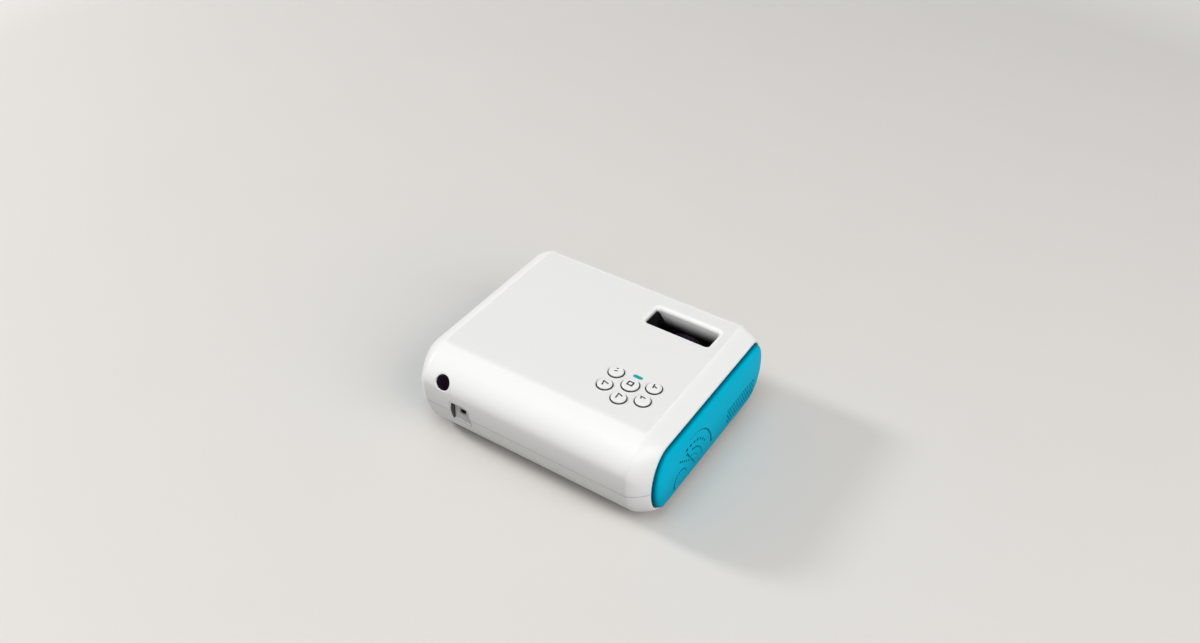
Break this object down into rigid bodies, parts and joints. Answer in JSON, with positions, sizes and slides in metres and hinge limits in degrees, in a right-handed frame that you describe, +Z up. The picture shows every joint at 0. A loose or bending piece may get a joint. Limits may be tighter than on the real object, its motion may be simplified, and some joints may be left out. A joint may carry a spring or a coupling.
{
  "type": "mini projector",
  "caption": "Mini projector with a white two-part case, blue end covers with graded sound holes, round roof keys and a window over the focus ring.",
  "frame": {"origin": "under the middle of the case, on the surface that the rubber feet stand on", "axes": "+Z up, -Y the way the lens looks, +X from the end cover with the sound holes towards the one with the exhaust slots"},
  "size_m": [0.2048, 0.1782, 0.0741],
  "materials": {
    "white_shell": "fine satin",
    "blue_cover": "satin",
    "white_keys": "soft gloss",
    "status_light": "translucent",
    "infrared_window": "polished",
    "black_plastic": "fine satin",
    "black_rubber": "matte",
    "optical_glass": "polished",
    "silvered_mirror": "polished",
    "heat_sink_aluminium": "satin",
    "zinc_steel": "zinc plated",
    "brass_insert": "turned",
    "circuit_board": "solder mask",
    "grey_silicone": "matte",
    "grey_foam": "open cell foam",
    "speaker_cone": "pressed paper"
  },
  "bodies": {
    "root": {"case_screw_back_left": "zinc_steel", "case_screw_back_right": "zinc_steel", "case_screw_front_left": "zinc_steel", "case_screw_front_right": "zinc_steel", "chip_cooler": "heat_sink_aluminium", "condenser_holder": "black_plastic", "condenser_lens": "optical_glass", "data_socket": "zinc_steel", "end_cover_left": "blue_cover", "end_cover_right": "blue_cover", "engine_lid": "black_plastic", "engine_tray": "black_plastic", "fan_frame": "black_plastic", "fold_mirror": "silvered_mirror", "foot_back_left": "black_rubber", "foot_back_right": "black_rubber", "foot_front_left": "black_rubber", "foot_front_right": "black_rubber", "front_bezel": "black_plastic", "heat_glass": "optical_glass", "heat_sink": "heat_sink_aluminium", "infrared_board": "circuit_board", "infrared_window": "infrared_window", "inlet_cup": "white_shell", "intake_filter": "grey_foam", "keypad_board": "circuit_board", "keypad_mat": "grey_silicone", "lens_cradle": "black_plastic", "lens_mount": "black_plastic", "light_board": "heat_sink_aluminium", "lower_shell": "white_shell", "main_board": "circuit_board", "picture_panel": "black_plastic", "picture_socket": "zinc_steel", "power_jack": "black_plastic", "ridged_lens_front": "optical_glass", "ridged_lens_rear": "optical_glass", "ring_clip": "zinc_steel", "sound_jack": "black_plastic", "speaker_basket": "zinc_steel", "speaker_cone": "speaker_cone", "speaker_gasket": "grey_foam", "speaker_magnet": "zinc_steel", "status_light": "status_light", "tripod_insert": "brass_insert", "upper_shell": "white_shell"},
    "key_centre": {"key_centre": "white_keys"},
    "key_front_left": {"key_front_left": "white_keys"},
    "key_front_right": {"key_front_right": "white_keys"},
    "key_back_left": {"key_back_left": "white_keys"},
    "key_back_right": {"key_back_right": "white_keys"},
    "key_rear": {"key_rear": "white_keys"},
    "focus": {"focus_ring": "black_plastic"},
    "lens": {"lens_barrel": "black_plastic", "follower_pin": "zinc_steel", "front_lens": "optical_glass", "rear_lens": "optical_glass", "lens_retainer": "black_plastic"},
    "fan": {"fan_rotor": "black_plastic"},
    "tilt": {"tilt_foot": "black_plastic"}
  },
  "joints": [
    {"name": "press_centre", "type": "slide", "parent": "root", "child": "key_centre", "axis": [0, 0, -1], "range_m": [0, 0.0008], "stiffness_N_per_m": 150},
    {"name": "press_front_left", "type": "slide", "parent": "root", "child": "key_front_left", "axis": [0, 0, -1], "range_m": [0, 0.0008], "stiffness_N_per_m": 150},
    {"name": "press_front_right", "type": "slide", "parent": "root", "child": "key_front_right", "axis": [0, 0, -1], "range_m": [0, 0.0008], "stiffness_N_per_m": 150},
    {"name": "press_back_left", "type": "slide", "parent": "root", "child": "key_back_left", "axis": [0, 0, -1], "range_m": [0, 0.0008], "stiffness_N_per_m": 150},
    {"name": "press_back_right", "type": "slide", "parent": "root", "child": "key_back_right", "axis": [0, 0, -1], "range_m": [0, 0.0008], "stiffness_N_per_m": 150},
    {"name": "press_rear", "type": "slide", "parent": "root", "child": "key_rear", "axis": [0, 0, -1], "range_m": [0, 0.0008], "stiffness_N_per_m": 150},
    {"name": "focus_turn", "type": "hinge", "parent": "root", "child": "focus", "pos_m": [-0.0495, -0.049, 0.0385], "axis": [0, -1, 0], "range_deg": [0, 120]},
    {"name": "lens_travel", "type": "slide", "parent": "root", "child": "lens", "axis": [0, -1, 0], "range_m": [0, 0.006]},
    {"name": "fan_spin", "type": "hinge", "parent": "root", "child": "fan", "pos_m": [0.08, 0.005, 0.0385], "axis": [1, 0, 0], "continuous": true},
    {"name": "tilt_out", "type": "slide", "parent": "root", "child": "tilt", "axis": [0, 0, -1], "range_m": [0, 0.012]}
  ],
  "couplings": [
    {"joint": "lens_travel", "follows": "focus_turn", "m_per_rad": 0.00286}
  ]
}
